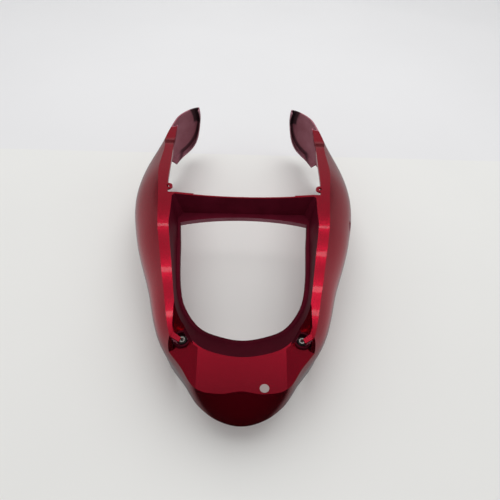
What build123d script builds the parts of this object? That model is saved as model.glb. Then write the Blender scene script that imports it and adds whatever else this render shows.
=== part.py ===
from build123d import *
import os
from collections import namedtuple
from math import cos, hypot, log, radians, tan

os.makedirs("parts", exist_ok=True)

# The shell lies as it rests on a table: +Y points to the front of the motorcycle and +Z is up.
# Each form is made for the right-hand half, measured along Y from near the cross wall. The half
# is then moved so that the origin is under the middle of the shell, and mirrored, and what
# stands on one side only is cut last.

# Moulded walls
wall = 3.0
well_wall = 2.6
lip_thickness = 2.6

# Ends of the shell
tail_y = -330.0
nose_y = 330.0
table_drop = -40.0
overall_height = 200.0
middle_y = -2.45

# How the side panel rounds over to the rail and tucks under to the hem
crown_power = 1.9
tuck_power = 2.2
section_heights = [-6.0, 30.0, 62.0, 90.0, 118.0, 144.0, 172.0]

# Stations round the plan outline, from the tail to the nose: the widest point of the side panel
# and its height, the outer edge of the rail above it and its height, and the hem below it
Station = namedtuple("Station", "belly belly_z rail rail_z hem")
stations = [
    Station((0, tail_y), 48, (0, tail_y + 40), 106, (0, tail_y + 2)),
    Station((33, tail_y + 8), 48, (30, tail_y + 35), 106, (32, tail_y + 10)),
    Station((60, tail_y + 27), 50, (57, tail_y + 35), 106, (59, tail_y + 29)),
    Station((88, -266), 58, (84, -263.5), 110, (85, -263)),
    Station((120, -226), 74, (101, -229), 126, (113, -226)),
    Station((153, -134), 82, (122, -134), 151, (140, -134)),
    Station((186, -42), 86, (139, -42), 165, (166, -42)),
    Station((206, 60), 86, (152, 60), 162, (184, 60)),
    Station((205, 132), 76, (158, 148), 148, (189, 136)),
    Station((171, 230), 64, (156, 236), 136, (167, 234)),
    Station((151, 288), 60, (143, 278), 136, (147, 291)),
    Station((114, 322), 56, (122, 301), 138, (114, 322)),
    Station((0, nose_y), 56, (0, 300), 138, (0, nose_y)),
]

# Top line of the shell, seen from the side
beak_tip = (-345.0, 86.0)
beak_foot = (-235.1, 118.0)
rail_end = (-232.0, 125.5)
rail_end_foot = (-243.0, 99.0)
rail_rise = (-120.0, 155.0)
rail_crest = (-8.0, 167.0)
rail_fall = (96.0, 157.0)
step_top = (158.0, 149.0)
step_foot = (196.0, 139.0)
arm_top = (338.0, 139.0)
rail_front_y = 236.0

# Hem, seen from the side: flat where it rests, arched between, and rising under the beak
front_foot_y = 170.0
front_hem = [(196.0, 14.0), (215.0, 23.0), (250.0, 26.0), (340.0, 26.0)]
hem_arch = (0.0, 17.0)
rear_foot_front_y = -180.0
rear_foot_rear_y = -212.0
hem_rise = (-285.0, 40.0)
hem_end = (-350.0, 52.0)

# Sloping flanks of the beak, on both sides of its flat middle
flank_inner_x = 61.0
flank_slope = 22.0

# Seat well behind the cross wall: its mouth between the rails and its floor opening
mouth_height = 174.0
mouth_tilt = 10.8
mouth_reach = 40.0
floor_height = 127.5
floor_tilt = 8.2
cross_y = 6.0
cross_foot_y = -2.0
mouth_side = [(0, -272), (32, -268), (58, -258), (76, -240), (90, -214), (98, -182), (109, -115), (119, -57), (122, 3)]
floor_side = [(0, -228), (33, -223), (64, -211), (84, -190), (95, -170), (102, -145), (110, -60), (114, -14)]
opening_side = [(0, -224), (32, -219), (60, -208), (79, -188), (90, -168), (97, -143), (105, -60), (109, -22)]
well_run = (0.09, 1)
mouth_corner_x = 120.0
gusset_x = 105.0
opening_front_y = -10.0
cross_top_end = 167.0
cross_top_mid = 160.0
front_lip_depth = 10.0

# Rails in front of the cross wall
rail_inner = [(129, 10), (134, 60), (136.5, 107), (139.5, 149), (143, 245)]
rail_lip_depth = 6.0
rail_mouth_z = 100.0

# Screw ears on the inner edges of the rails
ear_x = 131.0
ear_y = 24.7
ear_radius = 8.0
ear_hole_radius = 3.1
ear_thickness = 3.0
ear_drop = 0.5

# Free edge of each front arm, seen from the front
arm_edge = [(190, -6), (177, 26), (168, 45), (158, 38), (146, 30), (128, 34), (114, 52), (106, 84), (102.5, 112), (104, 145)]
arm_cut_y = 188.0
arm_lip_depth = 9.0

# Shelf inside the end of each rail, the grommet pocket sunk in it and the tongue over the pocket
shelf_corners = [(98, -186), (97, -256), (58, -256)]
shelf_ramp = [(-183, 142), (-235, 98)]
grommet_x = 85.0
grommet_y = -230.0
pocket_radius = 9.5
pocket_wall = 2.6
pocket_floor_z = 105.5
pocket_rim_z = 113.0
tongue_corners = [(110, -214), (97, -218), (95, -226), (84, -234), (86.5, -240), (98.5, -233), (110, -226)]
tongue_z = 124.5

# Grommets and their collars
neck_radius = 4.9
rubber_radius = 6.6
rubber_thickness = 3.2
rubber_chamfer = 0.8
collar_radius = 3.4
collar_bore_radius = 2.6
collar_head_radius = 4.3
collar_head_thickness = 1.2
seat_gap = 0.1

# Lock hole in the right-hand side panel
lock_at = (190.0, -5.5, 104.0)
lock_aim = (0.93, -0.22, 0.30)
lock_radius = 12.0
lock_reach = 30.0


def swell(station, z):
    """The station's place in plan at height z."""
    if z >= station.belly_z:
        reach = (z - station.belly_z) / (station.rail_z - station.belly_z)
        end = station.rail
        power = crown_power
    else:
        reach = (station.belly_z - z) / station.belly_z
        end = station.hem
        power = tuck_power
    share = reach**power if reach <= 1 else 1 + power * log(reach)
    x, y = station.belly
    return (x + (end[0] - x) * share, y + (end[1] - y) * share)


def headings(points, first, last):
    """Directions of a smooth curve at its points, with those of its two ends given."""
    found = [first]
    for before, here, after in zip(points, points[1:], points[2:]):
        come = hypot(here[0] - before[0], here[1] - before[1])
        go = hypot(after[0] - here[0], after[1] - here[1])
        x = (here[0] - before[0]) * go / come + (after[0] - here[0]) * come / go
        y = (here[1] - before[1]) * go / come + (after[1] - here[1]) * come / go
        found.append((x / hypot(x, y), y / hypot(x, y)))
    return found + [last]


def moved(points, inset, first=(1, 0), last=(-1, 0)):
    """The points, moved by the inset to the left of the way that their curve runs."""
    heads = headings(points, first, last)
    return [(x - inset * v, y + inset * u) for (x, y), (u, v) in zip(points, heads)]


def smooth_side(points, first=(1, 0), last=(-1, 0)):
    """A smooth curve of one arc for each pair of neighbouring points."""
    heads = headings(points, first, last)
    for start, end, leave, arrive in zip(points, points[1:], heads, heads[1:]):
        pull = hypot(end[0] - start[0], end[1] - start[1]) / 3
        first_handle = (start[0] + pull * leave[0], start[1] + pull * leave[1])
        last_handle = (end[0] - pull * arrive[0], end[1] - pull * arrive[1])
        Bezier(start, first_handle, last_handle, end)


def hull(inset):
    """The right half of the rounded body, moved inwards by the inset, with its top not yet cut."""
    with BuildPart() as form:
        for z in section_heights:
            outline = moved([swell(station, z) for station in stations], inset)
            with BuildSketch(Plane.XY.offset(z)):
                with BuildLine():
                    smooth_side(outline)
                    Line(outline[-1], outline[0])
                make_face()
        loft()
    return form.part


def under_top_line(drop):
    """All that lies under the top line, seen from the side, lowered by the drop."""
    line = [beak_tip, beak_foot, rail_end, rail_rise, rail_crest, rail_fall, step_top, step_foot, arm_top]
    tip, foot, start, rise, crest, fall, step, low, arm = [(y, z - drop) for y, z in line]
    with BuildPart() as form:
        with BuildSketch(Plane.YZ):
            with BuildLine():
                Polyline(tip, foot, start)
                crown = Spline(start, rise, crest, fall, step)
                Spline(step, low, tangents=[crown % 1, (1, -0.1)])
                Polyline(low, arm, (arm[0], table_drop), (tip[0], table_drop), tip)
            make_face()
        extrude(amount=nose_y)
    return form.part


def above_flank(drop):
    """All that lies over the sloping flank of the beak, and over its run under the rail."""
    run = overall_height
    back_y = beak_tip[0] - beak_foot[0]
    back_z = beak_tip[1] - beak_foot[1]
    ahead = shelf_corners[0][1] - beak_foot[0] + wall
    across_beak = Plane(
        origin=(0, beak_foot[0] + ahead, beak_foot[1] + ahead * back_z / back_y - drop),
        x_dir=(1, 0, 0),
        z_dir=(0, back_y, back_z),
    )
    far_x = flank_inner_x + run
    with BuildPart() as form:
        with BuildSketch(across_beak):
            with BuildLine():
                Polyline(
                    (flank_inner_x, 0),
                    (far_x, -run * tan(radians(flank_slope))),
                    (far_x, run),
                    (flank_inner_x, run),
                    (flank_inner_x, 0),
                )
            make_face()
        extrude(amount=run)
    return form.part


def behind_rail_end(drop):
    """All that lies behind the sloping end of the rail, seen from the side, lowered by the drop."""
    (end_y, end_z), (foot_y, foot_z) = rail_end, (rail_end_foot[0], rail_end_foot[1] - drop)
    top_y = foot_y + (end_y - foot_y) * (overall_height - foot_z) / (end_z - drop - foot_z)
    with BuildPart() as form:
        with BuildSketch(Plane.YZ):
            with BuildLine():
                Polyline(
                    (foot_y, foot_z),
                    (top_y, overall_height),
                    (beak_tip[0] - overall_height, overall_height),
                    (beak_tip[0] - overall_height, foot_z - overall_height),
                    (foot_y + (end_y - foot_y) * -overall_height / (end_z - drop - foot_z), foot_z - overall_height),
                    (foot_y, foot_z),
                )
            make_face()
        extrude(amount=nose_y, both=True)
    return form.part


def tilted(height, tilt):
    """A plane that rises to the front by the tilt and passes the height at the origin."""
    return Plane(origin=(0, 0, height), x_dir=(1, 0, 0), z_dir=Vector(0, 0, 1).rotate(Axis.X, tilt))


def on_tilt(points, tilt):
    """Plan points as they are measured along a plane of that tilt."""
    return [(x, y / cos(radians(tilt))) for x, y in points]


def well(inset):
    """The seat well as a solid plug, moved inwards by the inset."""
    front = cross_y - inset
    foot = cross_foot_y - inset
    mouth = moved(mouth_side, inset, last=well_run)
    floor = moved(floor_side, inset, last=well_run)
    with BuildPart() as form:
        with BuildSketch(tilted(floor_height, floor_tilt)):
            with BuildLine():
                side = Spline(*on_tilt(floor, floor_tilt), tangents=[(1, 0), well_run])
                corner = on_tilt([(gusset_x - inset, foot), (0, foot)], floor_tilt)
                Polyline(side @ 1, *corner, side @ 0)
            make_face()
        with BuildSketch(tilted(mouth_height, mouth_tilt)):
            with BuildLine():
                side = Spline(*on_tilt(mouth, mouth_tilt), tangents=[(1, 0), well_run])
                corner = on_tilt([(mouth_corner_x - inset, front), (0, front)], mouth_tilt)
                Polyline(side @ 1, *corner, side @ 0)
            make_face()
        loft(ruled=True)
        mouth_face = form.faces().sort_by(Axis((0, 0, 0), tilted(mouth_height, mouth_tilt).z_dir))[-1]
        extrude(mouth_face, amount=mouth_reach)
    return form.part


def opening_plan(widen, front_widen):
    """The floor opening of the well, widened to the sides and to the front, in the floor's plane."""
    side = moved(opening_side, -widen, last=well_run)
    front = on_tilt([(0, opening_front_y + front_widen)], floor_tilt)[0]
    with BuildSketch(tilted(floor_height, floor_tilt)) as plan:
        with BuildLine():
            edge = Spline(*on_tilt(side, floor_tilt), tangents=[(1, 0), well_run])
            Spline(edge @ 1, front, tangents=[(-0.97, 0.24), (-1, 0)])
            Line(front, edge @ 0)
        make_face()
    return plan.sketch


def well_floor_ring():
    """The flange round the floor opening, out to the foot of the well's walls."""
    foot = cross_foot_y + well_wall
    floor = moved(floor_side, -well_wall, last=well_run)
    with BuildSketch(tilted(floor_height, floor_tilt)) as plan:
        with BuildLine():
            side = Spline(*on_tilt(floor, floor_tilt), tangents=[(1, 0), well_run])
            corner = on_tilt([(gusset_x + well_wall, foot), (0, foot)], floor_tilt)
            Polyline(side @ 1, *corner, side @ 0)
        make_face()
    return plan.sketch - opening_plan(0, 0)


def well_lip_ring():
    """The turned-down edge of the floor opening, seen square to the floor."""
    return opening_plan(lip_thickness, lip_thickness) - opening_plan(0, 0)


def rail_mouth(widen):
    """The space between the rails in front of the cross wall, widened to the sides."""
    start_y = cross_y + well_wall
    front_y = rail_inner[-1][1]
    with BuildPart() as form:
        with BuildSketch(Plane.XY.offset(rail_mouth_z)):
            with BuildLine():
                side = Spline(*[(x + widen, y) for x, y in rail_inner])
                Polyline(side @ 1, (0, front_y), (0, start_y), (rail_inner[0][0] + widen, start_y), side @ 0)
            make_face()
        extrude(amount=overall_height)
    return form.part


def arm_gap(widen):
    """The space between the two front arms, seen from the front, widened to the sides."""
    edge = moved(arm_edge, -widen, first=(-0.4, 0.92), last=(0, 1))
    with BuildPart() as form:
        with BuildSketch(Plane.XZ.offset(-arm_cut_y)):
            with BuildLine():
                side = Spline(*edge)
                Polyline(side @ 1, (edge[-1][0], overall_height), (0, overall_height), (0, table_drop))
                Polyline((0, table_drop), (edge[0][0], table_drop), side @ 0)
            make_face()
        extrude(amount=-overall_height)
    return form.part


def under_hem():
    """All that lies under the hem, seen from the side."""
    with BuildPart() as form:
        with BuildSketch(Plane.YZ):
            with BuildLine():
                Spline(*reversed(front_hem), (front_foot_y, 0))
                ThreePointArc((front_foot_y, 0), hem_arch, (rear_foot_front_y, 0))
                Line((rear_foot_front_y, 0), (rear_foot_rear_y, 0))
                Spline((rear_foot_rear_y, 0), hem_rise, hem_end, tangents=[(-1, 0), (-1, 0.1)])
                front_end = front_hem[-1]
                Polyline(hem_end, (hem_end[0], table_drop), (front_end[0], table_drop), front_end)
            make_face()
        extrude(amount=nose_y)
    return form.part


def above_cross_wall():
    """What the hollow top edge of the cross wall leaves free, seen from behind."""
    with BuildPart() as form:
        with BuildSketch(Plane.XZ.offset(-cross_y - overall_height / 2)):
            with BuildLine():
                ThreePointArc((-mouth_corner_x, cross_top_end), (0, cross_top_mid), (mouth_corner_x, cross_top_end))
                Polyline(
                    (mouth_corner_x, cross_top_end),
                    (mouth_corner_x, overall_height),
                    (-mouth_corner_x, overall_height),
                    (-mouth_corner_x, cross_top_end),
                )
            make_face()
        extrude(amount=overall_height)
    return form.part


def prism(plan, low, high):
    """A plan outline raised between two heights."""
    return extrude(Pos(0, 0, low) * plan, amount=high - low, dir=(0, 0, 1))


def over_ramp(drop):
    """All that lies over the ramp at the front of the shelf, seen from the side, lowered by the drop."""
    (front_y, front_z), (rear_y, rear_z) = [(y, z - drop) for y, z in shelf_ramp]
    with BuildPart() as form:
        with BuildSketch(Plane.YZ):
            with BuildLine():
                Polyline((front_y, front_z), (rear_y, rear_z), (tail_y, rear_z), (tail_y, overall_height))
                Polyline((tail_y, overall_height), (front_y, overall_height), (front_y, front_z))
            make_face()
        extrude(amount=nose_y, both=True)
    return form.part


# The moulded half: its skin, then what is cut from it and what stands in it
top = under_top_line(0)
ceiling = under_top_line(wall)
inner_hull = hull(wall)
outer_hull = hull(0)
flank = above_flank(0)
lower_flank = above_flank(wall)
behind_rail = flank & behind_rail_end(0)
skin = (outer_hull & top) - behind_rail
hollow = (inner_hull & ceiling) - (lower_flank & behind_rail_end(wall))
in_front = Pos(0, rail_front_y + nose_y, 0) * Box(2 * nose_y, 2 * nose_y, 2 * overall_height)
rail_lip = (rail_mouth(lip_thickness) - rail_mouth(0)) & (ceiling - under_top_line(rail_lip_depth))
arm_lip = (arm_gap(lip_thickness) - arm_gap(0)) & (inner_hull & in_front & ceiling) - hull(wall + arm_lip_depth)

well_plug = well(-well_wall) & top
well_hollow = well(0)
well_floor = extrude(well_floor_ring(), amount=-lip_thickness)
well_lip = extrude(well_lip_ring(), amount=-front_lip_depth)

shelf_plan = Polygon(*shelf_corners, align=None)
shelf_hollow = prism(shelf_plan, 0, overall_height) & over_ramp(0) & flank
shelf = prism(offset(shelf_plan, wall, kind=Kind.INTERSECTION), 0, overall_height) & over_ramp(wall)
shelf = (shelf & lower_flank & top & outer_hull) - behind_rail
at_grommet = Pos(grommet_x, grommet_y, 0)
cup = prism(at_grommet * Circle(pocket_radius + pocket_wall), pocket_floor_z - wall, pocket_rim_z)
cup_hollow = prism(at_grommet * Circle(pocket_radius), pocket_floor_z, pocket_rim_z)
cup_hole = prism(at_grommet * Circle(neck_radius + seat_gap), 0, overall_height)
tongue = prism(Polygon(*tongue_corners, align=None), tongue_z - wall, tongue_z) & outer_hull

ear_layer = under_top_line(ear_drop) - under_top_line(ear_drop + ear_thickness)
ear = prism(Pos(ear_x, ear_y, 0) * Circle(ear_radius), 0, overall_height) & ear_layer
ear_hole = prism(Pos(ear_x, ear_y, 0) * Circle(ear_hole_radius), 0, overall_height)

with BuildPart() as half:
    add(skin)
    add(hollow, mode=Mode.SUBTRACT)
    add(inner_hull & in_front, mode=Mode.SUBTRACT)
    add(arm_gap(0), mode=Mode.SUBTRACT)
    add(rail_mouth(0), mode=Mode.SUBTRACT)
    add(under_hem(), mode=Mode.SUBTRACT)
    add([rail_lip, arm_lip])
    add([well_plug, shelf])
    add(shelf_hollow, mode=Mode.SUBTRACT)
    add(cup)
    add([well_hollow, cup_hollow, cup_hole], mode=Mode.SUBTRACT)
    add(above_cross_wall(), mode=Mode.SUBTRACT)
    add([well_floor, well_lip, tongue, ear])
    add(ear_hole, mode=Mode.SUBTRACT)

with BuildPart() as tail_fairing:
    with Locations((0, -middle_y, 0)):
        add(half.part)
    mirror(about=Plane.YZ)
    with Locations(Plane(origin=lock_at, z_dir=lock_aim)):
        Cylinder(lock_radius, lock_reach, mode=Mode.SUBTRACT)

tail_fairing.part.label = "tail_fairing"
export_step(tail_fairing.part, "parts/tail_fairing.step")

# The grommet and its collar in each pocket, each turned about the pocket's upright axis
underside_z = pocket_floor_z - wall - seat_gap - rubber_thickness
upside_z = pocket_floor_z + seat_gap + rubber_thickness
for side, sign in (("right", 1), ("left", -1)):
    centre = (sign * grommet_x, grommet_y - middle_y, 0)
    cut_plane = Plane(origin=centre, x_dir=(1, 0, 0), z_dir=(0, -1, 0))
    upright = Axis(centre, (0, 0, 1))

    with BuildPart() as grommet:
        with BuildSketch(cut_plane):
            bore_radius = collar_radius + seat_gap
            with Locations((bore_radius, underside_z)):
                width = rubber_radius - bore_radius
                Rectangle(width, upside_z - underside_z, align=(Align.MIN, Align.MIN))
            with Locations((neck_radius, pocket_floor_z - wall - seat_gap)):
                Rectangle(rubber_radius, wall + 2 * seat_gap, align=(Align.MIN, Align.MIN), mode=Mode.SUBTRACT)
        revolve(axis=upright)
        rims = grommet.edges().filter_by(GeomType.CIRCLE).group_by(SortBy.RADIUS)[-1]
        chamfer(rims, rubber_chamfer)

    grommet.part.label = "grommet_" + side
    export_step(grommet.part, "parts/grommet_" + side + ".step")

    with BuildPart() as collar:
        with BuildSketch(cut_plane):
            with Locations((collar_bore_radius, underside_z)):
                width = collar_radius - collar_bore_radius
                Rectangle(width, upside_z - underside_z, align=(Align.MIN, Align.MIN))
            with Locations((collar_bore_radius, upside_z)):
                width = collar_head_radius - collar_bore_radius
                Rectangle(width, collar_head_thickness, align=(Align.MIN, Align.MIN))
        revolve(axis=upright)

    collar.part.label = "collar_" + side
    export_step(collar.part, "parts/collar_" + side + ".step")
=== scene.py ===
"""Looks of a motorcycle tail fairing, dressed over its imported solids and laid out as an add-on."""

import math

import bmesh
import bpy
from bpy.props import FloatProperty, FloatVectorProperty, PointerProperty
from mathutils import Euler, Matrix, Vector
from mathutils.bvhtree import BVHTree


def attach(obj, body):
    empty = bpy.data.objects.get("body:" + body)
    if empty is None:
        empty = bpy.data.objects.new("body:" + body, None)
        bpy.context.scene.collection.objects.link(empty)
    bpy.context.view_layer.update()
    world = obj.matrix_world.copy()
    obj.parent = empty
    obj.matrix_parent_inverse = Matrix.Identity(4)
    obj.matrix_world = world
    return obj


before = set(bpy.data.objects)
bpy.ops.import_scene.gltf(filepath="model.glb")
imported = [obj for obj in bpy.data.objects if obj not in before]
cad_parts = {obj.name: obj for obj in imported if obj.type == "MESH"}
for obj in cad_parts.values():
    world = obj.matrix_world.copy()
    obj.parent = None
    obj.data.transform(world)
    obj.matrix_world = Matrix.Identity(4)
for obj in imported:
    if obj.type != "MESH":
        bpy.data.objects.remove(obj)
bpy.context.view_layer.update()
SHELL = "tail_fairing"
GROMMETS = ("grommet_left", "grommet_right")
COLLARS = ("collar_left", "collar_right")

bl_info = {
    "name": "Motorcycle tail fairing",
    "version": (1, 0, 0),
    "blender": (4, 5, 0),
    "location": "3D View > Sidebar > Tail fairing",
    "description": "Paints the tail shell and its grommets, adds the paper dot and sets the studio",
    "category": "Object",
}


# Shader maths

def give(tree, socket, value):
    """Links a socket to a shade, or sets it to a plain value."""
    if isinstance(value, Shade):
        tree.links.new(value.socket, socket)
    else:
        socket.default_value = value


class Shade:
    """A socket of a node tree, so that maths on sockets is written as it is read."""

    def __init__(self, tree, socket):
        self.tree = tree
        self.socket = socket

    def _math(self, operation, first, second):
        node = self.tree.nodes.new("ShaderNodeMath")
        node.operation = operation
        for place, value in zip(node.inputs, (first, second)):
            give(self.tree, place, value)
        return Shade(self.tree, node.outputs[0])

    def __add__(self, other):
        return self._math("ADD", self, other)

    def __radd__(self, other):
        return self._math("ADD", other, self)

    def __sub__(self, other):
        return self._math("SUBTRACT", self, other)

    def __rsub__(self, other):
        return self._math("SUBTRACT", other, self)

    def __mul__(self, other):
        return self._math("MULTIPLY", self, other)

    def __rmul__(self, other):
        return self._math("MULTIPLY", other, self)


class Finish:
    """A node tree under construction, of a material or of the room round the object."""

    def __init__(self, owner, shader="Principled BSDF"):
        self.owner = owner
        owner.use_nodes = True
        self.tree = owner.node_tree
        self.shader = self.tree.nodes[shader]

    def node(self, kind, settings=None, output=0, **inputs):
        """A node of that type with its settings made first, and its inputs given or linked."""
        made = self.tree.nodes.new("ShaderNode" + kind)
        for name, value in (settings or {}).items():
            setattr(made, name, value)
        for name, value in inputs.items():
            self.feed(made, name, value)
        return Shade(self.tree, made.outputs[output])

    def feed(self, node, name, value):
        """Gives one input of a node its value or its link."""
        open_sockets = [s for s in node.inputs if s.enabled]
        sockets = [s for s in open_sockets if s.identifier == name]
        sockets = sockets or [s for s in open_sockets if s.name.replace(" ", "_") == name]
        if not sockets:
            raise KeyError(f"{node.bl_idname} has no input {name}")
        give(self.tree, sockets[0], value)

    def place(self):
        """Where the surface is, in the object's own metres."""
        return self.node("TexCoord", output="Object")

    def part_of(self, vector, axis):
        """One part of a vector: X, Y or Z."""
        return self.node("SeparateXYZ", output=axis, Vector=vector)

    def unsigned(self, value):
        """A value without its sign, the same on both sides of the middle."""
        return self.node("Math", {"operation": "ABSOLUTE"}, Value=value)

    def noise(self, scale, detail=2.0, roughness=0.5):
        return self.node(
            "TexNoise", Vector=self.place(), Scale=scale, Detail=detail, Roughness=roughness
        )

    def cells(self, scale):
        """A random colour for each cell."""
        return self.node("TexVoronoi", output="Color", Vector=self.place(), Scale=scale)

    def stretch(self, value, low, high, new_low=0.0, new_high=1.0):
        """A value between low and high moved to between the two new ones, and held at its ends."""
        return self.node(
            "MapRange", Value=value, From_Min=low, From_Max=high, To_Min=new_low, To_Max=new_high
        )

    def fade(self, value, low, high):
        """1 up to low, 0 past high."""
        return self.stretch(value, low, high, 1.0, 0.0)

    def blend(self, share, first, second):
        """One colour changing to the other by the share."""
        mix = self.tree.nodes.new("ShaderNodeMix")
        mix.data_type = "RGBA"
        sockets = {s.identifier: s for s in mix.inputs}
        give(self.tree, sockets["Factor_Float"], share)
        give(self.tree, sockets["A_Color"], first)
        give(self.tree, sockets["B_Color"], second)
        result = next(s for s in mix.outputs if s.identifier == "Result_Color")
        return Shade(self.tree, result)

    def grey(self, value):
        """A grey of that brightness."""
        return self.node("CombineColor", Red=value, Green=value, Blue=value)

    def bump(self, height, strength, distance):
        return self.node("Bump", Height=height, Strength=strength, Distance=distance)

    def done(self, **inputs):
        """Feeds the shader and hands back what the tree belongs to."""
        for name, value in inputs.items():
            self.feed(self.shader, name, value)
        return self.owner


def finish(name):
    """A new material under construction."""
    return Finish(bpy.data.materials.new(name))


def colour(values, share=1.0):
    """A colour for a socket, at that share of its brightness."""
    return (*(value * share for value in values), 1.0)


# Sizes and colours

def shade_property(name, description, default):
    return FloatVectorProperty(
        name=name, description=description, default=default, subtype="COLOR", min=0.0, max=1.0
    )


def length_property(name, description, default):
    return FloatProperty(
        name=name, description=description, default=default, unit="LENGTH", subtype="DISTANCE"
    )


def share_property(name, description, default):
    return FloatProperty(
        name=name, description=description, default=default, min=0.0, max=1.0, subtype="FACTOR"
    )


class TAIL_PG_paint(bpy.types.PropertyGroup):
    """Paint outside, a thin coat with painted shade in the seat well, bare plastic with overspray
    inside, and painted shade and highlight along the arms' free edge.
    """

    deep: shade_property("Deep red", "Paint colour in the hollows of the flake", (0.74, 0.006, 0.038))
    bright: shade_property("Bright red", "Paint colour on the flake", (0.95, 0.014, 0.060))
    metallic: share_property("Metallic", "How metallic the base coat is", 0.97)
    base_roughness: share_property("Base roughness", "Roughness of the base coat", 0.20)
    coat_roughness: share_property("Coat roughness", "Roughness of the clear coat", 0.045)
    flake: length_property("Flake size", "Size of the metal flake in the paint", 0.0005)
    # The well's tones are darker than its thin coat alone, as painted shade for the well and the grommet
    # cups
    well_deep_with_shade: shade_property("Well, deep", "Darkest paint in the seat well", (0.085, 0.004, 0.013))
    well_bright_with_shade: shade_property("Well, bright", "Lightest paint in the seat well", (0.150, 0.008, 0.024))
    overspray: shade_property("Overspray", "Dull paint mist on the inside", (0.250, 0.050, 0.076))
    plastic: shade_property("Bare plastic", "Plastic that shows through the mist", (0.42, 0.16, 0.21))
    # Painted shade in the channel inside the arms' lip and at their tips
    tip_shade: shade_property(
        "Dark tip", "Dark tone in the channel and at the tips of the arms", (0.032, 0.008, 0.014)
    )
    # Paler lip: partly its paint, partly a painted highlight of its lit face
    lip: shade_property("Arm lip", "Paler lip along the free edge of the arms", (0.44, 0.23, 0.28))


class TAIL_PG_fittings(bpy.types.PropertyGroup):
    """Grommets and collars."""

    rubber: shade_property("Rubber", "Colour of the grommets", (0.010, 0.010, 0.010))
    dust: shade_property("Dust", "Dust that has settled on the rubber", (0.060, 0.055, 0.050))
    steel: shade_property("Steel", "Colour of the plated collars", (0.62, 0.60, 0.56))
    stain: shade_property("Stain", "Dull spots on the plating", (0.30, 0.27, 0.22))


class TAIL_PG_dot(bpy.types.PropertyGroup):
    """Blank round paper dot on the beak."""

    across: length_property("Across", "Middle of the dot, to the right of the middle line", 0.0306)
    along: length_property("Along", "Middle of the dot along the shell", -0.2915)
    radius: length_property("Radius", "Radius of the dot across the shell", 0.0064)
    short_radius: length_property("Short radius", "Radius of the dot along the shell", 0.0052)
    thickness: length_property("Thickness", "Thickness of the paper", 0.00025)
    paper: shade_property("Paper", "Colour of the paper", (0.38, 0.31, 0.30))


class TAIL_PG_stage(bpy.types.PropertyGroup):
    """Floor, lights and camera."""

    floor: shade_property("Floor", "Colour of the table", (0.82, 0.82, 0.80))
    sheet: shade_property("Rear sheet", "Colour of the sheet behind the table", (0.80, 0.80, 0.81))
    sheet_edge: length_property("Sheet edge", "Where the rear sheet begins, along the shell", 0.328)
    table_half: length_property("Table half size", "Half the width and depth of the table", 8.0)
    backdrop: shade_property("Backdrop", "What the camera sees past the table", (0.66, 0.66, 0.66))
    sky: shade_property(
        "Soft light", "Even light that falls on dull surfaces from all round", (0.58, 0.58, 0.58)
    )
    ceiling: share_property("Ceiling", "Brightness of the ceiling that the gloss mirrors", 0.28)
    walls: share_property("Walls", "Brightness of the front walls that the gloss mirrors", 0.22)
    ground: share_property("Ground", "Brightness of the ground that the gloss mirrors", 0.38)
    gloom: share_property("Gloom", "Brightness of the darkest parts of the room", 0.005)
    lamp_height: length_property("Lamp height", "Height of the ceiling lamps over the table", 2.2)
    camera_height: length_property("Camera height", "Height of the camera over the table", 0.607)
    camera_back: length_property(
        "Camera back", "Distance of the camera behind the shell's middle", 0.4538
    )
    lens: FloatProperty(name="Lens", description="Focal length in millimetres", default=27.07)


# Geometry: which coat each face of the shell gets. All places are in metres.

PAINTED, THIN_AND_SHADED, DULL = range(3)

# Outlines of the seat well from the rear forwards, as y and half width
WELL_MOUTH = (
    (-0.2696, 0.0), (-0.2656, 0.033), (-0.2556, 0.059), (-0.2376, 0.077), (-0.2116, 0.091),
    (-0.1796, 0.0995), (-0.1126, 0.1115), (-0.0546, 0.122), (0.0055, 0.126), (0.0220, 0.126),
)
WELL_FLOOR = (
    (-0.2270, 0.0), (-0.2215, 0.034), (-0.2096, 0.066), (-0.1886, 0.087), (-0.1676, 0.098),
    (-0.1426, 0.105), (-0.0576, 0.113), (0.0220, 0.120),
)
WELL_MIDDLE_Y = -0.10
RIM_TOP = 0.140

# The cups round the grommets, and the shelves at the rails' rear ends
GROMMET_PLACE = (0.085, -0.22755)
CUP_RADIUS = 0.0132
CUP_TOP = 0.1145
SHELF_X = (0.060, 0.110)
SHELF_Y = (-0.235, -0.170)
SHELF_TOP = 0.122

# The middle line that the outside faces away from, and where the side panels and the arms begin
SPINE_Y = (-0.20, 0.26)
PANEL_X = 0.150
ARM_Y = 0.236

# The least or most that a face turns towards a direction, as the cosine between them
MOST_TURN_OF_INSIDE = -0.3
LEAST_TURN_OF_OUTSIDE = 0.05
LEAST_TURN_OF_TOP = -0.05
LEAST_TURN_OF_WALL = 0.22
LEAST_TURN_OF_SHELF = -0.25

# Rays that feel for what covers a face: how far off it they start, and how far they lean to its normal
RAY_LIFT = 0.0006
RAY_LEAN = 0.4
NO_LENGTH = 1e-6


def surface_of(node):
    """A tree of a CAD node's faces for rays."""
    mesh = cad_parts[node].data
    corners = [v.co.copy() for v in mesh.vertices]
    return BVHTree.FromPolygons(corners, [tuple(p.vertices) for p in mesh.polygons])


def is_painted(tree, centre, normal):
    """True for the glossy outside: nothing stands over the face, or before it where it faces out."""
    start = centre + normal * RAY_LIFT
    spine_y = min(max(centre.y, SPINE_Y[0]), SPINE_Y[1])
    outward = Vector((centre.x, centre.y - spine_y, 0.0))
    outward = outward.normalized() if outward.length > NO_LENGTH else Vector((0, -1, 0))
    facing = normal.dot(outward)
    if facing < MOST_TURN_OF_INSIDE and abs(centre.x) > PANEL_X:
        return False
    open_above = tree.ray_cast(start, Vector((0, 0, 1)))[0] is None
    open_outward = tree.ray_cast(start, (outward + normal * RAY_LEAN).normalized())[0] is None
    if facing > LEAST_TURN_OF_OUTSIDE and open_outward:
        return True
    return centre.y < ARM_Y and normal.z > LEAST_TURN_OF_TOP and open_above


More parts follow.
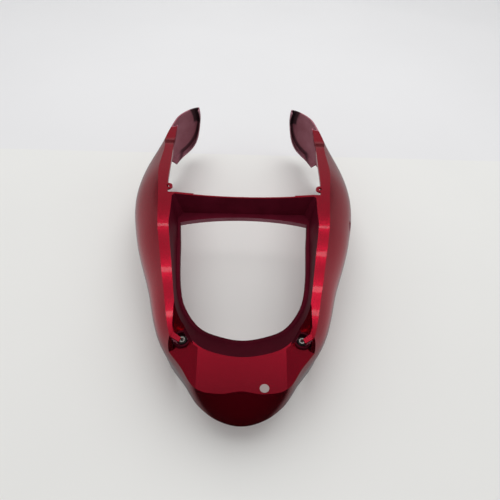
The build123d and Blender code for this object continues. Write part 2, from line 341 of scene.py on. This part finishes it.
def half_width_at(outline, y):
    """Half the width of an outline of (y, half width) points at that y, or 0 outside it."""
    for (y0, x0), (y1, x1) in zip(outline, outline[1:]):
        if y0 <= y <= y1:
            return x0 + (x1 - x0) * (y - y0) / (y1 - y0)
    return 0.0


def is_in_well(centre, normal):
    """True for the walls and rims of the seat well, the shelves and the cups of the grommets."""
    half = abs(centre.x)
    inward = Vector((-centre.x, WELL_MIDDLE_Y - centre.y, 0.0)).normalized()
    facing = normal.dot(inward)
    wall = half < half_width_at(WELL_MOUTH, centre.y) and facing > LEAST_TURN_OF_WALL
    rim = half < half_width_at(WELL_FLOOR, centre.y) and centre.z < RIM_TOP
    from_grommet = math.hypot(half - GROMMET_PLACE[0], centre.y - GROMMET_PLACE[1])
    cup = from_grommet < CUP_RADIUS and centre.z < CUP_TOP
    by_rail_end = SHELF_X[0] < half < SHELF_X[1] and SHELF_Y[0] < centre.y < SHELF_Y[1]
    shelf = by_rail_end and centre.z < SHELF_TOP and facing > LEAST_TURN_OF_SHELF
    return wall or rim or cup or shelf


def paint_shell_faces(shell, painted, thin, dull):
    """Gives the outside the paint, the seat well its thin coat with painted shade and the inside the
    overspray.
    """
    tree = surface_of(SHELL)
    shell.data.materials.clear()
    for surface in (painted, thin, dull):
        shell.data.materials.append(surface)
    for face in shell.data.polygons:
        if not is_painted(tree, face.center, face.normal):
            face.material_index = DULL
        elif is_in_well(face.center, face.normal):
            face.material_index = THIN_AND_SHADED
        else:
            face.material_index = PAINTED


# Finishes

# Painted shade: the well darkens over this stretch of y towards its rear
WELL_REAR_SHADE_Y = (-0.21, -0.15)
WELL_REAR_SHADE_SHARE = 0.55
WELL_REAR_SHADE_DARKNESS = 0.2

# The free edge of each arm runs near an ellipse in x and z. Its painted shade and its paler lip are
# ranges of the squared distance from the ellipse's middle, which is 1 on the ellipse.
ARM_MIDDLE = (0.150, 0.112)
ARM_HALF_AXES = (0.047, 0.082)
ARM_FADE_Y = (0.236, 0.244)
ARM_FADE_X = (0.150, 0.156)
CHANNEL_SHADE_INNER = (0.66, 0.74)
CHANNEL_SHADE_OUTER = (0.90, 0.96)
CHANNEL_SHADE_SHARE = 0.78
TIP_SHADE_FOOT_Z = (0.098, 0.104)
TIP_SHADE_INNER = (0.42, 0.50)
TIP_SHADE_OUTER = (0.98, 1.04)
TIP_SHADE_SHARE = 0.9
LIP_INNER = (0.92, 1.0)
LIP_SHARE = 0.55


def paint_finish(look):
    """Red metallic base coat with flake and a faint ripple, under a clear coat."""
    f = finish("red_paint")
    flake = f.cells(1 / look.flake)
    sparkle = f.node("SeparateColor", Color=flake)
    cloud = f.noise(scale=9.0, detail=3.0)
    share = f.stretch(sparkle * 0.55 + cloud * 0.45, 0.25, 0.80)
    tone = f.blend(share, colour(look.deep), colour(look.bright))
    wipe = f.stretch(f.noise(scale=38.0, detail=6.0, roughness=0.6), 0.35, 0.75)
    roughness = look.base_roughness + wipe * 0.05
    ripple = f.noise(scale=260.0)
    return f.done(
        Base_Color=tone,
        Metallic=look.metallic,
        Roughness=roughness,
        Normal=f.bump(ripple, strength=0.02, distance=0.0004),
        Coat_Weight=1.0,
        Coat_Roughness=look.coat_roughness,
        Coat_IOR=1.36,
    )


def well_finish(look):
    """Thin dark coat in the seat well and the pockets, where little of the spray reached, made darker
    still as painted shade.
    """
    f = finish("well_paint")
    mist = f.stretch(f.noise(scale=26.0, detail=5.0, roughness=0.55), 0.30, 0.70)
    speck = f.stretch(f.noise(scale=1100.0), 0.40, 0.65)
    tone = f.blend(mist * 0.7 + speck * 0.3, colour(look.well_deep_with_shade), colour(look.well_bright_with_shade))
    along = f.part_of(f.place(), "Y")
    # Painted shade, deepest at the well's rear wall
    rear = f.stretch(along, *WELL_REAR_SHADE_Y, WELL_REAR_SHADE_SHARE, 0.0)
    tone = f.blend(rear, tone, colour(look.well_deep_with_shade, WELL_REAR_SHADE_DARKNESS))
    return f.done(
        Base_Color=tone,
        Metallic=0.30,
        Roughness=0.46 + mist * 0.12,
        Normal=f.bump(speck, strength=0.05, distance=0.0002),
        Specular_IOR_Level=0.06,
    )


def overspray_finish(look):
    """Bare plastic with a dull mist of the paint, and along the arms' free edge painted shade and a
    paler lip.
    """
    f = finish("overspray")
    mist = f.stretch(f.noise(scale=22.0, detail=5.0, roughness=0.55), 0.30, 0.70)
    speck = f.stretch(f.noise(scale=900.0), 0.42, 0.62)
    tone = f.blend(mist * 0.65 + speck * 0.35, colour(look.overspray), colour(look.plastic))
    across = f.unsigned(f.part_of(f.place(), "X"))
    along = f.part_of(f.place(), "Y")
    height = f.part_of(f.place(), "Z")
    sideways = (across - ARM_MIDDLE[0]) * (1 / ARM_HALF_AXES[0])
    upright = (height - ARM_MIDDLE[1]) * (1 / ARM_HALF_AXES[1])
    to_edge = sideways * sideways + upright * upright
    on_arm = f.stretch(along, *ARM_FADE_Y) * f.fade(across, *ARM_FADE_X)
    # Painted shade in the channel inside the lip and at the arm tips
    channel = f.stretch(to_edge, *CHANNEL_SHADE_INNER) * f.fade(to_edge, *CHANNEL_SHADE_OUTER)
    tip_shade = f.stretch(height, *TIP_SHADE_FOOT_Z) * f.stretch(to_edge, *TIP_SHADE_INNER) * f.fade(to_edge, *TIP_SHADE_OUTER)
    # Paler lip: partly paint on its edge, partly a painted highlight of its lit face
    lip = f.stretch(to_edge, *LIP_INNER, 0.0, LIP_SHARE)
    tone = f.blend(lip * on_arm, tone, colour(look.lip))
    tone = f.blend((channel * CHANNEL_SHADE_SHARE + tip_shade * TIP_SHADE_SHARE) * on_arm, tone, colour(look.tip_shade))
    return f.done(
        Base_Color=tone,
        Roughness=0.46 + mist * 0.16,
        Normal=f.bump(speck, strength=0.12, distance=0.0002),
        Specular_IOR_Level=0.45,
    )


def rubber_finish(look):
    """Black rubber with a little settled dust."""
    f = finish("grommet_rubber")
    dust = f.stretch(f.noise(scale=420.0, detail=4.0, roughness=0.6), 0.52, 0.80)
    grain = f.noise(scale=2400.0)
    return f.done(
        Base_Color=f.blend(dust, colour(look.rubber), colour(look.dust)),
        Roughness=0.52 + dust * 0.25,
        Normal=f.bump(grain, strength=0.15, distance=0.0001),
    )


def steel_finish(look):
    """Bright plated steel with dull spots."""
    f = finish("collar_steel")
    spots = f.stretch(f.noise(scale=900.0, detail=4.0, roughness=0.6), 0.55, 0.78)
    return f.done(
        Base_Color=f.blend(spots, colour(look.steel), colour(look.stain)),
        Metallic=1.0 - spots * 0.35,
        Roughness=0.22 + spots * 0.30,
        Normal=f.bump(f.noise(scale=3000.0), strength=0.05, distance=0.0001),
    )


def paper_finish(look):
    """Matt paper with fine fibres."""
    f = finish("paper_dot")
    fibre = f.noise(scale=1500.0, detail=5.0, roughness=0.7)
    return f.done(
        Base_Color=f.blend(f.stretch(fibre, 0.35, 0.7), colour(look.paper), colour(look.paper, 0.84)),
        Roughness=0.82,
        Normal=f.bump(fibre, strength=0.2, distance=0.00015),
    )


def table_finish(name, values):
    """Pale matt table top with a faint unevenness."""
    f = finish(name)
    cloud = f.noise(scale=2.2, detail=3.0)
    return f.done(
        Base_Color=f.blend(f.stretch(cloud, 0.3, 0.7), colour(values), colour(values, 0.975)),
        Roughness=0.62,
        Normal=f.bump(f.noise(scale=160.0, detail=3.0), strength=0.04, distance=0.001),
    )


# Operators for the pieces

class TAIL_OT_shell(bpy.types.Operator):
    """Paints the outside of the shell and mists its inside"""

    bl_idname = "tail.shell"
    bl_label = "Paint the shell"

    def execute(self, context):
        look = context.scene.tail_paint
        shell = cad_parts[SHELL]
        paint_shell_faces(shell, paint_finish(look), well_finish(look), overspray_finish(look))
        return {"FINISHED"}


class TAIL_OT_fittings(bpy.types.Operator):
    """Gives the grommets their rubber and the collars their plating"""

    bl_idname = "tail.fittings"
    bl_label = "Finish the grommets and collars"

    def execute(self, context):
        look = context.scene.tail_fittings
        for names, surface in ((GROMMETS, rubber_finish(look)), (COLLARS, steel_finish(look))):
            for name in names:
                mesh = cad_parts[name].data
                mesh.materials.clear()
                mesh.materials.append(surface)
        return {"FINISHED"}


class TAIL_OT_dot(bpy.types.Operator):
    """Lays the blank paper dot on the beak"""

    bl_idname = "tail.dot"
    bl_label = "Lay the paper dot"

    RINGS = 8
    SPOKES = 48
    FOOT_SHARE = 1.004
    RAY_TOP = 1.0

    def execute(self, context):
        size = context.scene.tail_dot
        tree = surface_of(SHELL)
        sheet = bmesh.new()

        def draped(x, y, lift):
            hit, normal, _, _ = tree.ray_cast(Vector((x, y, self.RAY_TOP)), Vector((0, 0, -1)))
            if hit is None:
                raise RuntimeError("the paper dot has no shell under it")
            return hit + normal * lift

        def ring(share, lift):
            turns = [2 * math.pi * i / self.SPOKES for i in range(self.SPOKES)]
            return [
                sheet.verts.new(draped(
                    size.across + share * size.radius * math.cos(turn),
                    size.along + share * size.short_radius * math.sin(turn),
                    lift,
                ))
                for turn in turns
            ]

        middle = sheet.verts.new(draped(size.across, size.along, size.thickness))
        rings = [ring((i + 1) / self.RINGS, size.thickness) for i in range(self.RINGS)]
        rings.append(ring(self.FOOT_SHARE, 0.0))
        for i in range(self.SPOKES):
            after = (i + 1) % self.SPOKES
            sheet.faces.new((middle, rings[0][i], rings[0][after]))
            for inner, outer in zip(rings, rings[1:]):
                sheet.faces.new((inner[i], outer[i], outer[after], inner[after]))
        bmesh.ops.recalc_face_normals(sheet, faces=sheet.faces)
        mesh = bpy.data.meshes.new("paper_dot")
        sheet.to_mesh(mesh)
        sheet.free()
        mesh.polygons.foreach_set("use_smooth", [True] * len(mesh.polygons))
        dot = bpy.data.objects.new("paper_dot", mesh)
        context.scene.collection.objects.link(dot)
        mesh.materials.append(paper_finish(size))
        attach(dot, "root")
        return {"FINISHED"}


# Studio

# Lights: places and sizes in metres, power in watts
KEY_PLACE = (0.05, 0.9, 2.3)
KEY_SIZE = (2.8, 2.4)
KEY_POWER = 36.0
LAMP_PLACES = (
    (-0.60, 1.06), (0.63, 1.08), (-0.53, 0.22), (0.57, 0.50),
    (0.54, -0.02), (-0.49, -0.36), (0.51, -0.32),
)
LAMP_SIZE = (0.40, 0.070)
LAMP_POWER = 0.26

# Camera: its place across in metres, and its angles in degrees
CAMERA_ACROSS = -0.0047
CAMERA_TURN = -2.32
CAMERA_TILT = 38.0
CAMERA_ROLL = 2.94

# The room that the gloss mirrors. Each pair is a soft edge in one part of the direction looked in,
# from -1 to 1: forward, up, or across from the middle. The tones and shares go with them.
CEILING_UP = (0.86, 0.90)
CEILING_END_FORWARD = (-0.285, -0.265)
CEILING_DIM_FORWARD = (-0.20, 0.12)
CEILING_DIM_TONE = 0.20
SIDES_ACROSS = (0.55, 0.80)
SIDES_UP = (0.35, 0.55)
SIDES_TONES = (0.16, 0.07)
FRONT_FORWARD = (-0.02, 0.30)
FOOT_UP = (0.05, 0.12)
HORIZON_UP = (-0.06, 0.0)
GROUND_UP = (-0.90, -0.10)
GROUND_FAR_TONE = 0.18
GROUND_REAR_FORWARD = (-0.30, 0.25)
GROUND_REAR_SHARE = 0.14
GROUND_STEEP_UP = (-0.94, -0.68)
GROUND_STEEP_SHARE = 0.40
GLOW_ACROSS = (0.12, 0.45)
GLOW_UP = (0.10, 0.20)
GLOW_TONE = 0.035
BACK_FORWARD = (-0.35, -0.10)
BACK_ACROSS = (0.50, 0.75)
BACK_SHARE = 0.95


def room_finish(scene, stage):
    """The gloss mirrors a dim room, dull surfaces get even light, the camera sees a backdrop."""
    world = bpy.data.worlds.new("studio_room")
    scene.world = world
    f = Finish(world, "Background")
    way = f.node("TexCoord", output="Generated")
    across = f.unsigned(f.part_of(way, "X"))
    forward = f.part_of(way, "Y")
    up = f.part_of(way, "Z")
    overhead = f.stretch(up, *CEILING_UP)
    ceiling = overhead * f.stretch(forward, *CEILING_END_FORWARD)
    ceiling = ceiling * f.stretch(forward, *CEILING_DIM_FORWARD, CEILING_DIM_TONE, stage.ceiling)
    low_sides = f.stretch(across, *SIDES_ACROSS) * f.stretch(up, *SIDES_UP, *SIDES_TONES)
    front_walls = f.stretch(forward, *FRONT_FORWARD, 0.0, stage.walls)
    walls = (1.0 - overhead) * f.stretch(up, *FOOT_UP) * (front_walls + low_sides)
    ground = f.fade(up, *HORIZON_UP) * f.stretch(up, *GROUND_UP, stage.ground, GROUND_FAR_TONE)
    ground = ground * f.stretch(forward, *GROUND_REAR_FORWARD, GROUND_REAR_SHARE, 1.0)
    ground = ground * f.stretch(up, *GROUND_STEEP_UP, GROUND_STEEP_SHARE, 1.0)
    glow = f.stretch(across, *GLOW_ACROSS, 0.0, GLOW_TONE) * (1.0 - overhead)
    glow = glow * f.stretch(up, *GLOW_UP)
    behind = f.stretch(forward, *BACK_FORWARD, BACK_SHARE, 0.0) * f.fade(across, *BACK_ACROSS)
    mirrored = ceiling + (walls + ground) * (1.0 - behind) + glow + stage.gloom
    in_gloss = f.node("LightPath", output="Is Glossy Ray")
    seen = f.node("LightPath", output="Is Camera Ray")
    tone = f.blend(in_gloss, colour(stage.sky), f.grey(mirrored))
    f.done(Color=f.blend(seen, tone, colour(stage.backdrop)), Strength=1.0)


def add_panel_light(scene, name, place, aim, size, power, in_gloss=True):
    """A soft rectangular light at a place, turned to the point that it aims at."""
    lamp = bpy.data.lights.new(name, "AREA")
    lamp.shape = "RECTANGLE"
    lamp.size, lamp.size_y = size
    lamp.energy = power
    holder = bpy.data.objects.new(name, lamp)
    holder.visible_glossy = in_gloss
    holder.location = place
    holder.rotation_euler = (Vector(aim) - Vector(place)).to_track_quat("-Z", "Y").to_euler()
    scene.collection.objects.link(holder)


def add_stage_sheet(scene, name, corners, surface):
    """A flat sheet under the object, which the gloss doesn't mirror."""
    mesh = bpy.data.meshes.new(name)
    mesh.from_pydata(corners, [], [tuple(range(len(corners)))])
    mesh.materials.append(surface)
    sheet = bpy.data.objects.new(name, mesh)
    sheet.visible_glossy = False
    scene.collection.objects.link(sheet)


class TAIL_OT_stage(bpy.types.Operator):
    """Sets the table, the lights and the camera"""

    bl_idname = "tail.stage"
    bl_label = "Set the studio"

    def execute(self, context):
        scene = context.scene
        scene.view_settings.view_transform = "Standard"
        stage = scene.tail_stage
        half, edge = stage.table_half, stage.sheet_edge
        add_stage_sheet(
            scene, "table_top",
            [(-half, -half, 0), (half, -half, 0), (half, edge, 0), (-half, edge, 0)],
            table_finish("table_paint", stage.floor),
        )
        add_stage_sheet(
            scene, "rear_sheet",
            [(-half, edge, 0), (half, edge, 0), (half, half, 0), (-half, half, 0)],
            table_finish("sheet_paint", stage.sheet),
        )
        self.light(scene, stage)
        self.aim_camera(scene, stage)
        return {"FINISHED"}

    def light(self, scene, stage):
        """A room with a pale ceiling and a dim back, a soft key light, and lamps over the rails."""
        room_finish(scene, stage)
        add_panel_light(scene, "key", KEY_PLACE, (0, 0, 0), KEY_SIZE, KEY_POWER, in_gloss=False)
        for i, (x, y) in enumerate(LAMP_PLACES):
            place = (x, y, stage.lamp_height)
            add_panel_light(scene, f"lamp_{i}", place, (x, y, 0), LAMP_SIZE, LAMP_POWER)

    def aim_camera(self, scene, stage):
        """The camera behind and above the shell, looking down at it."""
        camera = bpy.data.cameras.new("camera")
        camera.lens = stage.lens
        holder = bpy.data.objects.new("camera", camera)
        holder.location = (CAMERA_ACROSS, -stage.camera_back, stage.camera_height)
        turn = Euler((0, 0, math.radians(CAMERA_TURN))).to_matrix()
        tilt = Euler((math.radians(CAMERA_TILT), 0, 0)).to_matrix()
        roll = Euler((0, 0, math.radians(CAMERA_ROLL))).to_matrix()
        holder.rotation_euler = (turn @ tilt @ roll).to_euler()
        scene.collection.objects.link(holder)
        scene.camera = holder


class TAIL_PT_panel(bpy.types.Panel):
    """Lists the steps and their sizes and colours"""

    bl_idname = "TAIL_PT_panel"
    bl_label = "Tail fairing"
    bl_space_type = "VIEW_3D"
    bl_region_type = "UI"
    bl_category = "Tail fairing"

    def draw(self, context):
        for name, operator in STEPS:
            box = self.layout.box()
            box.operator(operator.bl_idname)
            group = getattr(context.scene, name)
            for key in group.bl_rna.properties.keys():
                if key not in ("rna_type", "name"):
                    box.prop(group, key)


GROUPS = {
    "tail_paint": TAIL_PG_paint,
    "tail_fittings": TAIL_PG_fittings,
    "tail_dot": TAIL_PG_dot,
    "tail_stage": TAIL_PG_stage,
}
STEPS = (
    ("tail_paint", TAIL_OT_shell),
    ("tail_fittings", TAIL_OT_fittings),
    ("tail_dot", TAIL_OT_dot),
    ("tail_stage", TAIL_OT_stage),
)


def register():
    for name, group in GROUPS.items():
        bpy.utils.register_class(group)
        setattr(bpy.types.Scene, name, PointerProperty(type=group))
    for _, operator in STEPS:
        bpy.utils.register_class(operator)
    bpy.utils.register_class(TAIL_PT_panel)


def unregister():
    bpy.utils.unregister_class(TAIL_PT_panel)
    for _, operator in reversed(STEPS):
        bpy.utils.unregister_class(operator)
    for name, group in reversed(GROUPS.items()):
        delattr(bpy.types.Scene, name)
        bpy.utils.unregister_class(group)


def main():
    register()
    bpy.ops.tail.shell()
    bpy.ops.tail.fittings()
    bpy.ops.tail.dot()
    bpy.ops.tail.stage()


if __name__ == "__main__":
    main()
